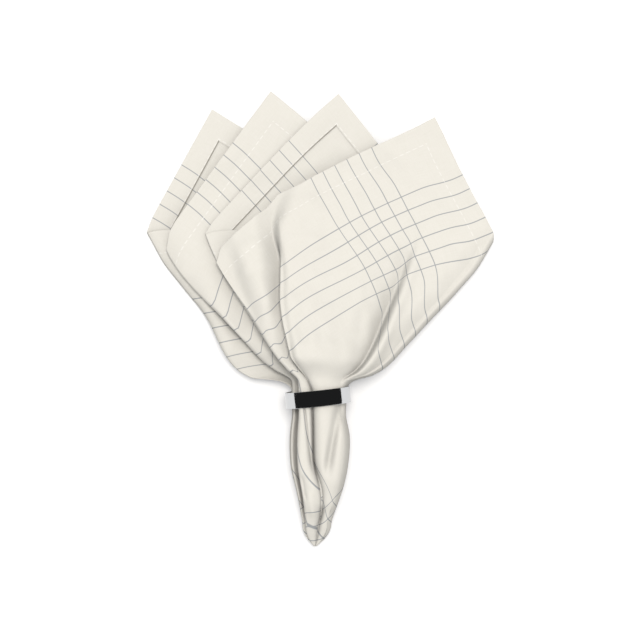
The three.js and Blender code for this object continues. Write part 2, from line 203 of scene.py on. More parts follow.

# Creases and ridges, listed one by one, most of them in the tail. Each runs from one distance from the tip
# and place across to another, and bows to the right midway. It has a depth, below 0 for a ridge,
# and a half width.
SHARP_BELOW = 2  # creases narrower than this have a sharp foot
Crease = namedtuple("Crease", "name top top_x foot foot_x bow depth width")
CREASES = [
    Crease("left soft crease", 104, -7.8, 58, -2, 0, 2.6, 1.2),
    Crease("right lobe shadow", 108, 18.4, 56, 8.6, -0.6, 3.4, 2.8),
    Crease("right bulge", 88, 18.4, 44, 13.6, 1, -1.8, 4.6),
    Crease("flank hollow", 226, -63, 148, -39, 0, 2.2, 5.5),
    Crease("ring pinch", 108, 17.6, 92, 18.2, 0, 2.8, 0.9),
    Crease("left shadow", 52, -9, 36, -6.2, 0, 2.4, 1.6),
    Crease("lower left lobe", 40, -4.6, 24, -1.6, 0, -1.4, 3),
    Crease("opening", 30, 4.6, 8, 0.4, 0.6, 5, 1.9),
]

# Columns of the sheet: steps in each half of a fold's bend, and degrees of flat cloth between the others
BEND_STEPS = 5
FRONT_STEP = 0.42
PANEL_STEP = 1.5
SOFT_STEP = 0.16
# Rows of the sheet: distances on the cloth near the tip, the finer step above the ring, and rows of the rim
TIP_ROWS = [1.2, 2.6, 4.2, 6, 8, 10, 12, 14, 16]
FINE_ROWS = (112, 150)
FINE_ROW_STEP, ROW_STEP = 1.1, 2
RIM_ROWS = 44
HEM_INSETS = (1, 4, 7, 10, 13, HEM)
HEM_BEND_STEPS = 4


def smooth(start, end, value):
    t = min(max((value - start) / (end - start), 0), 1)
    return t * t * (3 - 2 * t)


def lerp(a, b, t):
    return a + (b - a) * t


def swell(span, value):
    """Rises from 0 to 1 at the middle of the span and falls back to 0."""
    start, peak, end = span
    return smooth(start, peak, value) if value < peak else 1 - smooth(peak, end, value)


def slope_at(column, row):
    """Slope of a station column at a row, kept level where the column turns."""
    if row in (0, len(STATIONS) - 1):
        return 0
    low, mid, high = STATIONS[row - 1 : row + 2]
    before = (mid[column] - low[column]) / (mid.radius - low.radius)
    after = (high[column] - mid[column]) / (high.radius - mid.radius)
    return 0 if before * after <= 0 else 2 * before * after / (before + after)


def station_at(radius):
    """All station columns at one radius, on a smooth curve through the rows."""
    row = 0
    while row < len(STATIONS) - 2 and radius > STATIONS[row + 1].radius:
        row += 1
    low, high = STATIONS[row], STATIONS[row + 1]
    step = high.radius - low.radius
    t = min(max((radius - low.radius) / step, 0), 1)
    values = [radius]
    for column in range(1, len(low)):
        start = low[column] * (1 + 2 * t) * (1 - t) ** 2 + slope_at(column, row) * step * t * (1 - t) ** 2
        end = high[column] * (3 - 2 * t) * t**2 - slope_at(column, row + 1) * step * t**2 * (1 - t)
        values.append(start + end)
    return Station(*values)


def fold_at(index):
    return FOLDS[index % len(FOLDS)]


def next_cloth(index):
    """Direction of the next fold on the flat napkin, counted on past a full turn."""
    return fold_at(index + 1).cloth + (360 if index == len(FOLDS) - 1 else 0)


def across_at(station, fan_angle):
    return station.radius * math.sin((station.squeeze * fan_angle + station.turn) * DEG)


def neck_to_fan(radius):
    """0 where the bundle is squeezed round, 1 where it lies open as a fan."""
    return smooth(*FAN_OPENS, radius)


def fold_across(station, index):
    fold = fold_at(index)
    side = 1 if index % 2 == 0 else -1
    nested = fold.nest * (NEST_STEP + NEST_ADDED * smooth(*TAIL_STARTS, station.radius))
    puff = fold.puff * swell(PUFF, station.radius) + fold.flare * smooth(*FLARE_SPAN, station.radius)
    fan_angle = lerp(fold.neck, fold.fan, neck_to_fan(station.radius))
    return across_at(station, fan_angle) + side * (puff - nested)


class Section:
    """The bundle cut across at one distance from the tip."""

    def __init__(self, radius):
        station = station_at(radius)
        self.station = station
        self.radius = radius
        self.centre = across_at(station, 0)
        self.right = fold_across(station, 0) - self.centre + 0.3
        self.left = (self.centre - fold_across(station, 9)) * lerp(1.25, 1.01, neck_to_fan(radius))
        self.soften = 2.2 + 0.02 * radius
        self.step_x = across_at(station, station.soft) + STEP_RIM * smooth(150, 190, radius)
        self.step_x -= STEP_RING * swell((108, 120, 156), radius)
        self.step_x += STEP_TAIL * smooth(66, 36, radius) * smooth(6, 26, radius)
        self.ridge_x = across_at(station, station.soft + 3.4 * smooth(212, 250, radius))
        self.soft_hang = 0.45 * smooth(26, 56, radius) + 0.55 * smooth(112, 135, radius)
        self.valley_x = across_at(station, station.valley)
        fanned = neck_to_fan(radius)
        self.rise = [across_at(station, lerp(neck, fan, fanned)) for neck, fan in zip(RISE_NECK, RISE_FAN)]
        self.left_folds = [fold_across(station, index) for index in (9, 7, 1)]
        self.creases = self.creases_here()
        self.panels = [self.panel(index) for index in range(len(FOLDS))]

    def creases_here(self):
        """Centre, depth and half width of each listed crease that crosses this section."""
        found = []
        for crease in CREASES:
            share = (self.radius - crease.foot) / (crease.top - crease.foot)
            fade = smooth(-0.15, 0.15, share) * smooth(1.12, 0.85, share)
            if fade > 0:
                centre = lerp(crease.foot_x, crease.top_x, share) + crease.bow * 4 * share * (1 - share)
                found.append((centre, crease.depth * fade, crease.width))
        return found

    def height(self, x, layer):
        """Height of a layer at one place across the bundle."""
        top, bottom, round_ = self.station.top, self.station.bottom, self.station.round
        offset = x - self.centre
        reach = min(-offset / self.left if offset < 0 else offset / self.right, 1)
        half = (top - bottom) / 2
        edge_half = lerp(EDGE_NECK_SHARE * half, min(EDGE_FAN, half), smooth(2, 3.5, round_))
        here = (half**round_ * (1 - reach**round_) + (edge_half * reach) ** round_) ** (1 / round_)
        begin = (0.79 - 0.035 * layer) * self.left
        fanned = smooth(230, 150, self.radius) * smooth(116, 150, self.radius)
        spread = fanned * smooth(-begin, -begin - 0.2 * self.left, offset)
        share = min(layer / (LAYERS - 4 * spread), 1)
        floor = bottom + (half - here) * smooth(6, 3.5, round_)
        height = floor + max(2 * here - self.dip(x), LEAST_HEIGHT) * share
        return height + self.left_rise(x, layer) + self.uneven(x) * smooth(0, 2.5, layer)

    def left_rise(self, x, layer):
        """Slope of the strips that show at the left, each rising from its own fold to the next one."""
        lowest, middle, upper = self.left_folds
        first = FIRST_RISE * smooth(lowest, middle + 1, x) * smooth(0, 1, layer)
        second = SECOND_RISE * smooth(middle + 2, upper + 2, x) * smooth(2, 3, layer)
        open_ = smooth(116, 142, self.radius) * smooth(256, 205, self.radius)
        return open_ * (first + second) * (1 - smooth(upper + 15, self.right + self.centre, x))

    def uneven(self, x):
        """Slight waves that washing and folding leave in the cloth, shared by its layers."""
        waves = 0
        for size, length, place in WAVES:
            waves += size * noise.noise(Vector((x / length, self.radius / length, place)))
        return waves * smooth(*WAVES_START, self.radius)

    def front_lift(self, x, cloth, rise):
        """Lift of the front panel: puffed flank, ridge by the soft fold, crown, and groove in the tail."""
        fan = smooth(*FRONT_RISES, self.radius)
        side = x - self.step_x
        edge = smooth(0, 16, self.right - (x - self.centre))
        wall = WALL * fan * smooth(264, 222, self.radius)
        ridge = lerp(smooth(-8, 6, x - self.ridge_x), 1, smooth(232, 210, self.radius))
        faded = RIDGE_SHARE * (1 - math.exp(-max(x - self.ridge_x, 0) / RIDGE_FADE))
        crown = edge * (CROWN * fan + wall * ridge * (1 - faded))
        foot = GROOVE_FOOT[1] * math.exp(-abs(side) / GROOVE_FOOT[0])
        sides = GROOVE_SIDES[1] * math.exp(-((side / GROOVE_SIDES[0]) ** 2))
        groove = self.station.crease * smooth(150, 122, self.radius) * (foot + sides)
        groove *= lerp(1, 0.55, swell((104, 119, 150), self.radius))
        left_fold_x = self.panels[0][0][1][0]
        flank = FLANK * fan * smooth(0, 20, x - left_fold_x) * (1 - 0.65 * smooth(-15, -1, side))
        ripple = noise.noise(Vector((20 * x / (self.radius + 40), self.radius / 60, 1.3)))
        ripple *= RIPPLE_LEAST + RIPPLE_ADDED * swell((112, 132, 200), self.radius)
        return lerp(flank, crown, rise) - groove + ripple * smooth(0, 10, self.right - (x - self.centre))

    def strip_lift(self, index, x):
        """Soft crown of the strip of a lower layer that shows at the left."""
        outer, inner = (7, 1) if index == 6 else (9, 7)
        low, high = fold_across(self.station, outer), fold_across(self.station, inner)
        share = min(max((x - low) / max(high - low, 1), 0), 1)
        shoulder = TAIL_SHOULDER * smooth(114, 98, self.radius) * smooth(16, 36, self.radius) * (1 - share)
        return STRIP_CROWN * smooth(*FOLDS_RISE, self.radius) * 4 * share * (1 - share) + shoulder

    def dip(self, x):
        """Depth of the right valley, the soft fold's trough and the creases, shared by all the layers."""
        side = x - self.valley_x
        if side < 0:
            right = VALLEY_DEPTH * math.exp(-((-side / (VALLEY_LEFT * self.soften)) ** VALLEY_ROUND))
        else:
            right = VALLEY_DEPTH * math.exp(-((side / (VALLEY_RIGHT * self.soften)) ** 2))
            right -= VALLEY_RIDGE * math.exp(-(((side - RIDGE_OFF) / RIDGE_WIDTH) ** 2))
        right *= smooth(112, 130, self.radius) * smooth(240, 165, self.radius)
        side = x - self.step_x
        width = (9 if side < 0 else 3) + 8 * smooth(205, 240, self.radius)
        left = TROUGH_DEPTH * math.exp(-((side / width) ** 2))
        left *= smooth(*FOLDS_RISE, self.radius) * smooth(250, 205, self.radius)
        for centre, depth, width in self.creases:
            offset = abs(x - centre) / width
            left += depth * math.exp(-(offset if width < SHARP_BELOW else offset**2))
        return right + left

    def panel(self, index):
        """One panel of the section between two folds: its ends with the reach and length of their bends."""
        ends = []
        for end in (0, 1):
            fold = fold_at(index + end)
            x = fold_across(self.station, index + end)
            heights = self.height(x, fold.before), self.height(x, fold.after)
            ends.append([x, sum(heights) / 2, abs(heights[0] - heights[1]) / 2])
        span = abs(ends[1][0] - ends[0][0])
        for end in ends:
            depth = min(max(end[2], BEND_LEAST), BEND_MOST, span * BEND_SHARE)
            end += [depth, math.pi / 2 * math.hypot(depth, end[2]) * math.sqrt(0.5)]
        sign = 1 if ends[1][0] > ends[0][0] else -1
        return ends, span, sign

    def point(self, index, part, t, cloth_radius, stretch=0):
        """Place across, height and direction on the flat napkin of one point of a panel."""
        (a, b), span, sign = self.panels[index]
        first = FOLDS[index].cloth
        turn = next_cloth(index) - first
        length = cloth_radius * turn * DEG
        shrink = min(1, 0.8 * length / (a[4] + b[4]))
        bend_a, bend_b = a[4] * shrink, b[4] * shrink
        straight = length - bend_a - bend_b
        if part == "start":
            quarter = t * math.pi / 2
            along = a[3] * (1 - math.cos(quarter))
            walked = bend_a * t
        elif part == "end":
            quarter = t * math.pi / 2
            along = span - b[3] * (1 - math.sin(quarter))
            walked = length - bend_b * (1 - t)
        else:
            shares = [(length * (stop - first) / turn - bend_a) / straight for stop in STOPS.get(index, ())]
            shares = [0, *shares, 1]
            t = lerp(shares[stretch], shares[stretch + 1], t)
            along = a[3] + (span - a[3] - b[3]) * t
            walked = bend_a + straight * t
        x = a[0] + sign * along
        cloth = first + turn * walked / length
        rise = 0
        if index == 0 and part == "middle":
            x, rise = self.soft_fold(cloth, x, a[0] + sign * a[3], b[0] - sign * b[3], bend_a, bend_b, length)
        to_right = smooth(self.rise[0], self.rise[1], x)
        change = to_right if sign > 0 else 1 - to_right
        layer = lerp(FOLDS[index].after, fold_at(index + 1).before, change)
        z = self.height(x, layer)
        if index == 0:
            z += self.front_lift(x, cloth, rise)
        if index in (6, 8):
            z += self.strip_lift(index, x)
        if part == "start":
            z = lerp(a[1], z, math.sin(quarter))
        elif part == "end":
            z = lerp(b[1], z, math.cos(quarter))
        return x, z, cloth

    def soft_fold(self, cloth, x, start, end, bend_a, bend_b, length):
        """Place across in the front panel, whose soft fold hides a little cloth, and 0 to 1 up its step."""
        turn = FOLDS[1].cloth - FOLDS[0].cloth
        first = FOLDS[0].cloth + bend_a / length * turn
        last = FOLDS[1].cloth - bend_b / length * turn
        near, far = SOFT_FOLD
        size = self.radius / SOFT_SIZE
        fade = smooth(178, 222, self.radius)
        reach = lerp(SOFT_REACH * size, RIM_REACH, fade)
        hang = lerp(SOFT_HANG * size * self.soft_hang, 0, fade)
        if cloth < near:
            share = max((cloth - first) / (near - first), 0)
            spread = 0.9 * DEG * self.radius * smooth(262, 300, self.radius)
            spread -= 5 * swell((190, 226, 268), self.radius)
            spread *= math.sin(math.pi * share**1.3)
            return lerp(start, self.step_x + reach, share) + spread, 1
        if cloth > far:
            return lerp(self.step_x - reach, end, (cloth - far) / (last - far)), 0
        u = (cloth - near) / (far - near)
        return self.step_x + reach * (1 - 2 * u) - hang * math.sin(math.tau * u), 1 - smooth(0.12, 0.88, u)


@functools.lru_cache(maxsize=None)
def section_near(tenths):
    """The section at a distance from the tip given in tenths of a millimetre."""
    return Section(tenths / 10)


def panel_of(cloth):
    """The panel that a direction on the flat napkin lies in, and its share of the way between the folds."""
    index = len(FOLDS) - 1
    while index > 0 and cloth < FOLDS[index].cloth:
        index -= 1
    return index, (cloth - FOLDS[index].cloth) / (next_cloth(index) - FOLDS[index].cloth)


def slid_cloth(cloth, x, section):
    """A direction on the flat napkin, after the cloth has slid round its folds above the ring."""
    index, share = panel_of(cloth)
    start = (1 - share) ** 3
    if index == 0:
        start = smooth(-3, 5, x - section.valley_x)
    slide = FOLDS[index].slide * start + fold_at(index + 1).slide * share**3
    return cloth + slide * (1 - smooth(130, 240, section.radius)) * smooth(70, 118, section.radius)


def plan_radius(cloth_radius, cloth):
    """Distance from the tip in the plan, after the cloth taken up by the bundle's rise and bends."""
    index, share = panel_of(cloth)
    fold, after = FOLDS[index], fold_at(index + 1)
    fan = lerp(fold.fan, after.fan, share)
    slack = 0.9 + 0.5 * math.sqrt(fan**2 + 9) + lerp(fold.slack, after.slack, share)
    near_edge = cloth_radius / edge_radius(cloth)
    deep = fold.deep * (1 - share) ** 2 + after.deep * share**2
    taken = (slack + deep * (1 - smooth(0.84, 0.97, near_edge))) * smooth(0, 205, cloth_radius)
    before, behind = cloth - fold.cloth, next_cloth(index) - cloth
    roll = fold.roll * math.exp(-((before / ROLL_REACH) ** 2))
    roll += after.roll * math.exp(-((behind / ROLL_REACH) ** 2))
    taken += roll * smooth(0.9, 1, near_edge)
    if index == 0:
        taken += front_slack(cloth, cloth_radius, near_edge)
    return cloth_radius - taken


def front_slack(cloth, cloth_radius, near_edge):
    """What the front panel takes up besides: less in its middle, more on its left flank."""
    in_rim = smooth(*IN_RIM, near_edge)
    past_soft_fold = smooth(66.5, 68.8, cloth)
    middle = smooth(31, 37, cloth) * (1 - past_soft_fold)
    middle *= (MIDDLE_BACK - MIDDLE_LESS * smooth(44, 54, cloth)) * smooth(135, 190, cloth_radius) * (1 - in_rim)
    flank = past_soft_fold * (1 - smooth(71, 77.5, cloth))
    flank *= FLANK_SLACK + FLANK_ADDED * smooth(195, 150, cloth_radius)
    flank *= smooth(238, 205, cloth_radius) * smooth(100, 130, cloth_radius)
    rim = RIM_BACK * smooth(61, 66, cloth) * (1 - smooth(69, 78, cloth)) * in_rim
    return flank - middle - rim


def edge_radius(cloth, inset=0):
    """Distance from the napkin's middle to its edge, or to a line inside the edge."""
    return (HALF_SIDE - inset) / max(abs(math.cos(cloth * DEG)), abs(math.sin(cloth * DEG)))


def sheet_columns():
    """Columns of the sheet: the bends of every fold, and even steps between its stops."""
    columns = []
    for index, fold in enumerate(FOLDS):
        columns += [(index, "start", k / BEND_STEPS, 0) for k in range(BEND_STEPS + 1)]
        stops = [fold.cloth, *STOPS.get(index, ()), next_cloth(index)]
        for stretch, (low, high) in enumerate(zip(stops, stops[1:])):
            step = FRONT_STEP if index == 0 else PANEL_STEP
            if (low, high) == SOFT_FOLD:
                step = SOFT_STEP
            count = max(2, round((high - low) / step))
            columns += [(index, "middle", k / count, stretch) for k in range(1 if stretch == 0 else 0, count)]
        columns += [(index, "end", k / BEND_STEPS, 0) for k in range(BEND_STEPS)]
    return columns


def cloth_point(column, radius_of):
    """A point of the sheet on a column, at the distance on the cloth that radius_of gives for a direction."""
    index, part, t, stretch = column
    cloth = FOLDS[index].cloth
    for _ in range(4):
        cloth_radius = radius_of(cloth)
        radius = plan_radius(cloth_radius, cloth)
        section = section_near(round(max(radius, TIP_RADIUS) * 10))
        x, z, cloth = section.point(index, part, t, max(cloth_radius, TIP_RADIUS), stretch)
        cloth = slid_cloth(cloth, x, section)
    if radius < TIP_RADIUS:
        x, z = shrink_to_tip(x, z, radius)
    bow = radius - math.sqrt(max(radius**2 - x**2, 0))
    y = radius - bow * smooth(20, 70, radius)
    flat = Vector((math.cos(cloth * DEG), math.sin(cloth * DEG))) * cloth_radius
    return Vector((x, y, z)), flat


def shrink_to_tip(x, z, radius):
    """The first section shrunk towards the pinched tip."""
    first, here = station_at(TIP_RADIUS), station_at(max(radius, 0))
    centre = TIP_RADIUS * math.sin(first.turn * DEG)
    widths = [s.radius * math.sin(min(29 * s.squeeze, 88) * DEG) for s in (first, here)]
    middles = [(s.top + s.bottom) / 2 for s in (first, here)]
    shrink_z = (here.top - here.bottom) / (first.top - first.bottom)
    x = centre * radius / TIP_RADIUS + (x - centre) * widths[1] / widths[0]
    return x, middles[1] + (z - middles[0]) * shrink_z


def sheet_rows():
    """Distances on the cloth for each row, as functions of the direction on the flat napkin."""

    def at(radius):
        return lambda cloth: radius

    def towards_edge(share):
        return lambda cloth: lerp(RIM_START, edge_radius(cloth), share)

    def inside_edge(inset):
        return lambda cloth: edge_radius(cloth, inset)

    radii = list(TIP_ROWS)
    radius = radii[-1] + ROW_STEP
    while radius < RIM_START - 1:
        radii.append(radius)
        radius += FINE_ROW_STEP if FINE_ROWS[0] < radius < FINE_ROWS[1] else ROW_STEP
    rows = [at(r) for r in radii]
    rows += [towards_edge(k / RIM_ROWS) for k in range(RIM_ROWS + 1)]
    hem = [inside_edge(inset) for inset in HEM_INSETS]
    return rows, hem


def build_cloth(columns):
    """Rows of points of the sheet and its turned hem, with the flat place of each."""
    rows, hem_rows = sheet_rows()
    grid = [[cloth_point(column, row) for column in columns] for row in rows]
    last = grid[-1]
    inner = grid[-2]
    count = len(columns)
    edge_row = len(rows) - 1
    outward, inward = [], []
    for j in range(count):
        out = (last[j][0] - inner[j][0]).normalized()
        along = last[(j + 1) % count][0] - last[j - 1][0]
        outward.append(out)
        inward.append(along.cross(out).normalized())
    for k in range(1, HEM_BEND_STEPS + 1):
        turn = k * math.pi / HEM_BEND_STEPS
        row = []
        for j, (point, flat) in enumerate(last):
            lift = outward[j] * math.sin(turn) + inward[j] * (1 - math.cos(turn))
            row.append((point + lift * HEM_HALF, flat))
        grid.append(row)
    for row in hem_rows:
        points = []
        for j, column in enumerate(columns):
            point, flat = cloth_point(column, row)
            points.append((point + inward[j] * 2 * HEM_HALF, flat))
        grid.append(points)
    return grid, edge_row


def turned_out(flat, middle):
    """Where a point of the turned hem lies on the cut cloth, from the point under it."""
    if abs(middle.x) > abs(middle.y):
        return Vector((math.copysign(2 * HALF_SIDE, flat.x) - flat.x, flat.y))
    return Vector((flat.x, math.copysign(2 * HALF_SIDE, flat.y) - flat.y))


def link_mesh(name, bm):
    """Turns a bmesh into an object at the origin, linked to the scene."""
    mesh = bpy.data.meshes.new(name)
    bm.to_mesh(mesh)
    bm.free()
    piece = bpy.data.objects.new(name, mesh)
    bpy.context.scene.collection.objects.link(piece)
    return piece


def hex_linear(code):
    """An sRGB hex colour as linear RGBA."""
    channels = [int(code[i : i + 2], 16) / 255 for i in (1, 3, 5)]
    return [c / 12.92 if c <= 0.04045 else ((c + 0.055) / 1.055) ** 2.4 for c in channels] + [1]


def add(tree, kind, inputs=None, **settings):
    """Adds a node, sets it up, and links its inputs or sets their values.

    A node given as a value stands for its first output in use.
    """
    node = tree.nodes.new("ShaderNode" + kind)
    for name, value in settings.items():
        setattr(node, name, value)
    for key, value in (inputs or {}).items():
        if isinstance(value, bpy.types.Node):
            value = next(output for output in value.outputs if output.enabled)
        if isinstance(value, bpy.types.NodeSocket):
            tree.links.new(value, node.inputs[key])
        else:
            node.inputs[key].default_value = value
    return node


def new_material(name):
    """An empty node material and its node tree."""
    material = bpy.data.materials.new(name)
    material.use_nodes = True
    material.node_tree.nodes.clear()
    return material, material.node_tree


# Settings of a Map Range node that is 1 below a band of values and 0 above it
FALL = {"To Min": 1, "To Max": 0}


def check_lines(tree, place, spacing):
    """Border lines and middle lines, six of each, across one direction of the flat cloth.

    The place is in mm from the cloth's middle.
    """
    side = add(tree, "Math", {0: place}, operation="ABSOLUTE")
    from_last = add(tree, "Math", {0: side, 1: HALF_SIDE - LAST_LINE}, operation="SUBTRACT")
    steps = add(tree, "Math", {0: from_last, 1: spacing}, operation="DIVIDE")
    border = add(tree, "Math", {0: steps, 1: BORDER_MIDDLE, 2: BAND_REACH}, operation="COMPARE")
    off_line = add(tree, "Math", {0: steps, 1: 0.5}, operation="PINGPONG")
    to_middle = add(tree, "Math", {0: side, 1: LINE_SPACING}, operation="DIVIDE")
    middle = add(tree, "Math", {0: to_middle, 1: BAND_REACH}, operation="LESS_THAN")
    off_space = add(tree, "Math", {0: to_middle, 1: 0.5}, operation="PINGPONG")
    off_middle_line = add(tree, "Math", {0: 0.5, 1: off_space}, operation="SUBTRACT")
    total = 0
    limits = {"From Min": LINE_CORE / LINE_SPACING, "From Max": LINE_EDGE / LINE_SPACING}
    for distance, where in ((off_line, border), (off_middle_line, middle)):
        band = {"Value": distance, **limits, **FALL}
        line = add(tree, "MapRange", band, interpolation_type="SMOOTHSTEP")
        total = add(tree, "Math", {0: line, 1: where, 2: total}, operation="MULTIPLY_ADD")
    return total


def hem_shadow_and_stitches(tree, x, y):
    """A painted shadow as a thin dark line just inside the hem's turned edge along two sides, and a row of light
    stitches all round.
    """
    from_x = add(tree, "Math", {0: x}, operation="ABSOLUTE")
    from_y = add(tree, "Math", {0: y}, operation="ABSOLUTE")
    far = add(tree, "Math", {0: from_x, 1: from_y}, operation="MAXIMUM")
    # Painted shadow: a thin dark band just inside the hem's turned edge, on two of the four sides
    to_edge = add(tree, "Math", {0: far, 1: HALF_SIDE + HEM - EDGE_SHADOW_OFF}, operation="SUBTRACT")
    off_edge = add(tree, "Math", {0: to_edge}, operation="ABSOLUTE")
    limits = {"From Min": EDGE_SHADOW_CORE, "From Max": EDGE_SHADOW_FADE}
    edge = add(tree, "MapRange", {"Value": off_edge, **limits, **FALL})
    along_y = add(tree, "Math", {0: from_y, 1: from_x}, operation="GREATER_THAN")
    edge = add(tree, "Math", {0: edge, 1: along_y}, operation="MULTIPLY")
    from_fold = add(tree, "Math", {0: far, 1: HALF_SIDE}, operation="SUBTRACT")
    in_hem = add(tree, "Math", {0: from_fold}, operation="ABSOLUTE")
    to_row = add(tree, "Math", {0: in_hem, 1: STITCH_ROW}, operation="SUBTRACT")
    off_row = add(tree, "Math", {0: to_row}, operation="ABSOLUTE")
    limits = {"From Min": STITCH_CORE, "From Max": STITCH_FADE}
    row = add(tree, "MapRange", {"Value": off_row, **limits, **FALL})
    along = add(tree, "Math", {0: x, 1: y}, operation="ADD")
    in_stitch = add(tree, "Math", {0: along, 1: STITCH_LENGTH}, operation="PINGPONG")
    limits = {"From Min": 0.5 * STITCH_LENGTH, "From Max": 0.7 * STITCH_LENGTH}
    stitch = add(tree, "MapRange", {"Value": in_stitch, **limits, **FALL})
    stitches = add(tree, "Math", {0: row, 1: stitch}, operation="MULTIPLY")
    return edge, stitches


def make_linen(settings):
    """Half-linen in plain weave, washed and pressed: matt, faintly uneven, with lines of dyed yarn, light
    stitches and a painted shadow at the hem's turned edge.
    """
    material, tree = new_material("half_linen_plain_weave_washed")
    uv = add(tree, "UVMap", uv_map="flat_cloth")
    to_mm = {"Vector": uv, "Location": (-CUT_SIDE / 2, -CUT_SIDE / 2, 0), "Scale": (CUT_SIDE, CUT_SIDE, 1)}
    place = add(tree, "Mapping", to_mm)
    split = add(tree, "SeparateXYZ", {0: place})
    x, y = split.outputs[0], split.outputs[1]
    ranges = {"From Min": -HALF_SIDE, "From Max": 0, "To Min": LINE_SPACING, "To Max": CLOSE_SPACING}
    spacing = add(tree, "MapRange", {"Value": y, **ranges}, interpolation_type="SMOOTHSTEP")
    across, along = check_lines(tree, x, spacing), check_lines(tree, y, LINE_SPACING)
    lines = add(tree, "Math", {0: across, 1: along}, use_clamp=True)
    # edge is the mask of the painted shadow at the hem's turned edge
    edge, stitches = hem_shadow_and_stitches(tree, x, y)

    # Yarns of uneven thickness show as short pale and dark streaks both ways
    streaks = []
    for scale in ((0.1, 1.4, 1), (1.4, 0.1, 1)):
        stretched = add(tree, "Mapping", {"Vector": place, "Scale": scale})
        streaks.append(add(tree, "TexNoise", {"Vector": stretched, "Scale": 1, "Detail": 3}))
    slub = add(tree, "Math", {0: streaks[0], 1: streaks[1]})
    share = add(tree, "MapRange", {"Value": slub, "From Min": 0.75, "From Max": 1.25})
    yarns = {6: settings.cloth_shade, 7: settings.cloth_light}
    colour = add(tree, "Mix", {0: share, **yarns}, data_type="RGBA")
    for mask, strength, mark in (
        (lines, LINE_STRENGTH, settings.line_colour),
        # painted shadow at the hem's turned edge
        (edge, EDGE_SHADOW_STRENGTH, settings.hem_painted_shadow),
        (stitches, STITCH_STRENGTH, settings.stitch_colour),
    ):
        share = add(tree, "Math", {0: mask, 1: strength}, operation="MULTIPLY")
        colour = add(tree, "Mix", {0: share, 6: colour, 7: mark}, data_type="RGBA")

    # Warp and weft stand up in turn, as small waves both ways
    waves = []
    for axis in (x, y):
        phase = add(tree, "Math", {0: axis, 1: math.tau / YARN_SPACING}, operation="MULTIPLY")
        waves.append(add(tree, "Math", {0: phase}, operation="SINE"))
    weave = add(tree, "Math", {0: waves[0], 1: waves[1]}, operation="MULTIPLY")
    relief = add(tree, "Math", {0: slub, 1: 1.5, 2: weave}, operation="MULTIPLY_ADD")
    bump = add(tree, "Bump", {"Height": relief, "Strength": 0.3, "Distance": 0.00012})
    # Rough fibres scatter the light evenly, with hardly any gloss
    looks = {"Roughness": 0.92, "Specular IOR Level": 0.2}
    shader = add(tree, "BsdfPrincipled", {"Base Color": colour, "Normal": bump, **looks})
    add(tree, "OutputMaterial", {"Surface": shader})
    return material


def make_polished_steel(settings):
    """Stainless steel, turned and polished bright: a clear mirror, softened a little by hairlines of wear."""
    material, tree = new_material("stainless_steel_polished")
    coordinates = add(tree, "TexCoord")
    stretched = add(tree, "Mapping", {"Vector": coordinates.outputs["Object"], "Scale": (300, 4000, 300)})
    hairlines = add(tree, "TexNoise", {"Vector": stretched, "Scale": 1, "Detail": 2})
    rough = add(tree, "MapRange", {"Value": hairlines, "To Min": 0.03, "To Max": 0.09})
    looks = {"Base Color": settings.metal_colour, "Metallic": 1, "Roughness": rough}
    shader = add(tree, "BsdfPrincipled", looks)
    add(tree, "OutputMaterial", {"Surface": shader})
    return material


class NapkinSettings(bpy.types.PropertyGroup):
    """Colours of the cloth, its lines, its stitches, the painted shadow at its hem and the ring, and the ring's
    size.
    """

    cloth_light: bpy.props.FloatVectorProperty(
        name="Cloth",
        description="Lighter yarns of the natural cream cloth",
        default=hex_linear("#EAE7DF"),
        size=4,
        subtype="COLOR",
        min=0,
        max=1,
    )
    cloth_shade: bpy.props.FloatVectorProperty(
        name="Cloth, darker yarns",
        description="Darker yarns of the natural cream cloth",
        default=hex_linear("#E7E4DB"),
        size=4,
        subtype="COLOR",
        min=0,
        max=1,
    )
    line_colour: bpy.props.FloatVectorProperty(
        name="Check lines",
        description="Grey-blue yarn of the check lines",
        default=hex_linear("#8A9098"),
        size=4,
        subtype="COLOR",
        min=0,
        max=1,
    )
    # Colour of the painted shadow beside the hem's turned edge
    hem_painted_shadow: bpy.props.FloatVectorProperty(
        name="Hem edge",
        description="Shaded turned edge of the hem",
        default=hex_linear("#8F8A80"),
        size=4,
        subtype="COLOR",
        min=0,
        max=1,
    )
    stitch_colour: bpy.props.FloatVectorProperty(
        name="Stitches",
        description="White thread of the hem's stitches",
        default=hex_linear("#FFFDF8"),
        size=4,
        subtype="COLOR",
        min=0,
        max=1,
    )
    metal_colour: bpy.props.FloatVectorProperty(
        name="Ring metal",
        description="Polished metal of the ring",
        default=hex_linear("#C3C5C7"),
        size=4,
        subtype="COLOR",
        min=0,
        max=1,
    )
    ring_outer: bpy.props.FloatProperty(
        name="Ring radius",
        description="Outer radius of the ring",
        default=22.5 * MM,
        min=15 * MM,
        max=40 * MM,
        precision=4,
        unit="LENGTH",
        subtype="DISTANCE",
    )
    ring_wall: bpy.props.FloatProperty(
        name="Ring wall",
        description="Thickness of the ring's wall",
        default=1.2 * MM,
        min=0.5 * MM,
        max=3 * MM,
        precision=4,
        unit="LENGTH",
        subtype="DISTANCE",
    )
    ring_band: bpy.props.FloatProperty(
        name="Ring width",
        description="Width of the ring's band",
        default=11 * MM,
        min=4 * MM,
        max=40 * MM,
        precision=4,
        unit="LENGTH",
        subtype="DISTANCE",
    )


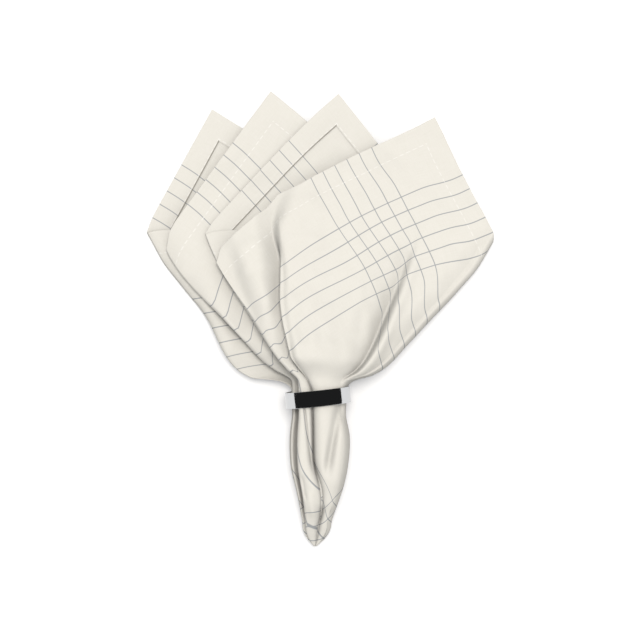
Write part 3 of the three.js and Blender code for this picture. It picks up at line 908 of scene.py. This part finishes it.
class NAPKIN_OT_cloth(bpy.types.Operator):
    """Folds the square of cloth, turns its hem and weaves its check lines"""

    bl_idname = "napkin.cloth"
    bl_label = "Napkin cloth"

    def execute(self, context):
        columns = sheet_columns()
        grid, hem_row = build_cloth(columns)
        bm = bmesh.new()
        bmesh.ops.create_grid(bm, x_segments=len(columns), y_segments=len(grid) - 1, size=1)
        bm.verts.ensure_lookup_table()
        flats = {}
        width = len(columns) + 1
        for index, vert in enumerate(bm.verts):
            row, column = divmod(index, width)
            point, flat = grid[row][column % len(columns)]
            vert.co = (point + TIP) * MM
            flats[vert] = flat
        hem = {vert for vert in bm.verts if vert.index // width >= hem_row}
        layer = bm.loops.layers.uv.new("flat_cloth")
        for face in bm.faces:
            face.smooth = True
            turned = all(vert in hem for vert in face.verts)
            middle = sum((flats[vert] for vert in face.verts), Vector((0, 0))) / 4
            for loop in face.loops:
                flat = turned_out(flats[loop.vert], middle) if turned else flats[loop.vert]
                loop[layer].uv = flat / CUT_SIDE + Vector((0.5, 0.5))
        bmesh.ops.remove_doubles(bm, verts=bm.verts, dist=1e-7)
        rim = [edge for edge in bm.edges if edge.is_boundary]
        middle = [edge for edge in rim if all((v.co / MM - TIP).xy.length < 3 for v in edge.verts)]
        if middle:
            bmesh.ops.contextual_create(bm, geom=middle)
        cloth = link_mesh("napkin_cloth", bm)
        cloth.data.materials.append(make_linen(context.scene.napkin))
        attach(cloth, "root")
        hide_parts("napkin")
        return {"FINISHED"}


class NAPKIN_OT_ring(bpy.types.Operator):
    """Turns the polished ring round its axis"""

    bl_idname = "napkin.ring"
    bl_label = "Napkin ring"

    def execute(self, context):
        settings = context.scene.napkin
        outer = settings.ring_outer / MM
        inner = outer - settings.ring_wall / MM
        half = settings.ring_band / MM / 2
        bm = bmesh.new()
        corners = [(outer, -half), (outer, half), (inner, half), (inner, -half)]
        verts = [bm.verts.new((radius, along, 0)) for radius, along in corners]
        for a, b in zip(verts, verts[1:] + verts[:1]):
            bm.edges.new((a, b))
        bmesh.ops.bevel(
            bm,
            geom=bm.verts[:],
            affect="VERTICES",
            offset=RING_EDGE,
            segments=4,
            profile=0.5,
            material=-1,
        )
        bmesh.ops.spin(
            bm,
            geom=bm.verts[:] + bm.edges[:],
            cent=(0, 0, 0),
            axis=(0, 1, 0),
            angle=math.tau,
            steps=RING_STEPS,
            use_merge=True,
            use_duplicate=False,
        )
        bmesh.ops.remove_doubles(bm, verts=bm.verts, dist=1e-4)
        bmesh.ops.recalc_face_normals(bm, faces=bm.faces)
        place = Matrix.Translation((TIP + RING_CENTRE) * MM) @ Matrix.Rotation(RING_TURN * DEG, 4, "Z")
        bmesh.ops.transform(bm, matrix=place @ Matrix.Scale(MM, 4), verts=bm.verts)
        for face in bm.faces:
            face.smooth = True
        ring = link_mesh("ring_band", bm)
        ring.data.materials.append(make_polished_steel(settings))
        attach(ring, "root")
        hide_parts("napkin_ring")
        return {"FINISHED"}


# Camera, in millimetres: straight above the middle of the photograph, this far from the pinched tip
CAMERA_OVER = Vector((3.45, 157.3, 0))
CAMERA_HEIGHT = 1300
SENSOR_WIDTH = 36
# Width in view, and the height in the cloth at which it is that wide
SEEN_WIDTH = 441.6
SEEN_AT = 10

# Floor: size and depth below the cloth in metres, and how much it glows
FLOOR_SIZE = 4
FLOOR_DEPTH = 0.0002
FLOOR_GLOW = 0.25
FLOOR_WHITE = (0.95, 0.95, 0.95, 1)
# Dark room that only reflections see: radius and height of its lower rim in metres, and its grey
ROOM_RADIUS = 3
ROOM_RIM = 0.01
ROOM_GREY = (0.021, 0.021, 0.021, 1)

# Soft sun: direction it comes from, width in degrees, strength in watts per square metre and colour
SUN_FROM = Vector((0.06, 0.2, 1))
SUN_WIDTH = 24
SUN_STRENGTH = 1.72
SUN_COLOUR = (1, 0.965, 0.925)
WORLD_COLOUR = (0.97, 0.975, 0.98, 1)
WORLD_STRENGTH = 0.6


def add_camera(scene):
    """A camera that looks straight down, as the photograph's did."""
    camera = bpy.data.objects.new("camera", bpy.data.cameras.new("camera"))
    camera.location = (TIP + CAMERA_OVER + Vector((0, 0, CAMERA_HEIGHT))) * MM
    camera.data.sensor_width = SENSOR_WIDTH
    camera.data.lens = SENSOR_WIDTH * (CAMERA_HEIGHT - SEEN_AT) / SEEN_WIDTH
    camera.data.clip_start = 0.05
    scene.collection.objects.link(camera)
    scene.camera = camera


def add_floor():
    """A matt white floor that glows a little, so that it stays white beside the cloth."""
    bm = bmesh.new()
    bmesh.ops.create_grid(bm, x_segments=1, y_segments=1, size=FLOOR_SIZE)
    bmesh.ops.translate(bm, verts=bm.verts, vec=(0, 0, -FLOOR_DEPTH))
    floor = link_mesh("floor", bm)
    material, tree = new_material("matt_white_light_table")
    glow = {"Emission Color": FLOOR_WHITE, "Emission Strength": FLOOR_GLOW}
    shader = add(tree, "BsdfPrincipled", {"Base Color": FLOOR_WHITE, "Roughness": 0.9, **glow})
    add(tree, "OutputMaterial", {"Surface": shader})
    floor.data.materials.append(material)


def add_dark_room():
    """A dark half dome that gives the polished ring its dark front and is seen in nothing else."""
    bm = bmesh.new()
    bmesh.ops.create_icosphere(bm, subdivisions=4, radius=ROOM_RADIUS)
    bmesh.ops.bisect_plane(
        bm,
        geom=bm.verts[:] + bm.edges[:] + bm.faces[:],
        plane_co=(0, 0, ROOM_RIM),
        plane_no=(0, 0, -1),
        clear_outer=True,
    )
    room = link_mesh("dark_room", bm)
    material, tree = new_material("dark_studio_wall")
    wall = add(tree, "Emission", {"Color": ROOM_GREY, "Strength": 1})
    add(tree, "OutputMaterial", {"Surface": wall})
    room.data.materials.append(material)
    room.visible_camera = False
    room.visible_diffuse = False
    room.visible_shadow = False
    room.visible_transmission = False


def add_light(scene):
    """A soft sun and an even world, neither of them bounced between the folds."""
    light = bpy.data.objects.new("key", bpy.data.lights.new("key", "SUN"))
    light.data.angle = SUN_WIDTH * DEG
    light.data.energy = SUN_STRENGTH
    light.data.color = SUN_COLOUR
    light.location = SUN_FROM
    light.rotation_euler = (-SUN_FROM).to_track_quat("-Z", "Y").to_euler()
    light.visible_glossy = False
    scene.collection.objects.link(light)
    world = bpy.data.worlds.new("studio")
    world.use_nodes = True
    background = world.node_tree.nodes["Background"]
    background.inputs[0].default_value = WORLD_COLOUR
    background.inputs[1].default_value = WORLD_STRENGTH
    scene.world = world
    scene.view_settings.view_transform = "Standard"
    # Without bounced light the folds read as dark as they do in the photograph
    scene.cycles.diffuse_bounces = 0


class NAPKIN_OT_stage(bpy.types.Operator):
    """Sets the pale floor, the soft light and the camera"""

    bl_idname = "napkin.stage"
    bl_label = "Stage"

    def execute(self, context):
        add_camera(context.scene)
        add_floor()
        add_dark_room()
        add_light(context.scene)
        return {"FINISHED"}


class NAPKIN_PT_panel(bpy.types.Panel):
    """Lists the steps that build the napkin and its stage"""

    bl_label = "Cloth napkin in a ring"
    bl_space_type = "VIEW_3D"
    bl_region_type = "UI"
    bl_category = "Napkin"

    def draw(self, context):
        for operator in OPERATORS:
            self.layout.operator(operator.bl_idname)
        for name in NapkinSettings.__annotations__:
            self.layout.prop(context.scene.napkin, name)


OPERATORS = (NAPKIN_OT_cloth, NAPKIN_OT_ring, NAPKIN_OT_stage)
CLASSES = (NapkinSettings, *OPERATORS, NAPKIN_PT_panel)


def register():
    for item in CLASSES:
        bpy.utils.register_class(item)
    bpy.types.Scene.napkin = bpy.props.PointerProperty(type=NapkinSettings)


def unregister():
    del bpy.types.Scene.napkin
    for item in reversed(CLASSES):
        bpy.utils.unregister_class(item)


def main():
    register()
    bpy.ops.napkin.stage()
    bpy.ops.napkin.ring()
    bpy.ops.napkin.cloth()


if __name__ == "__main__":
    main()
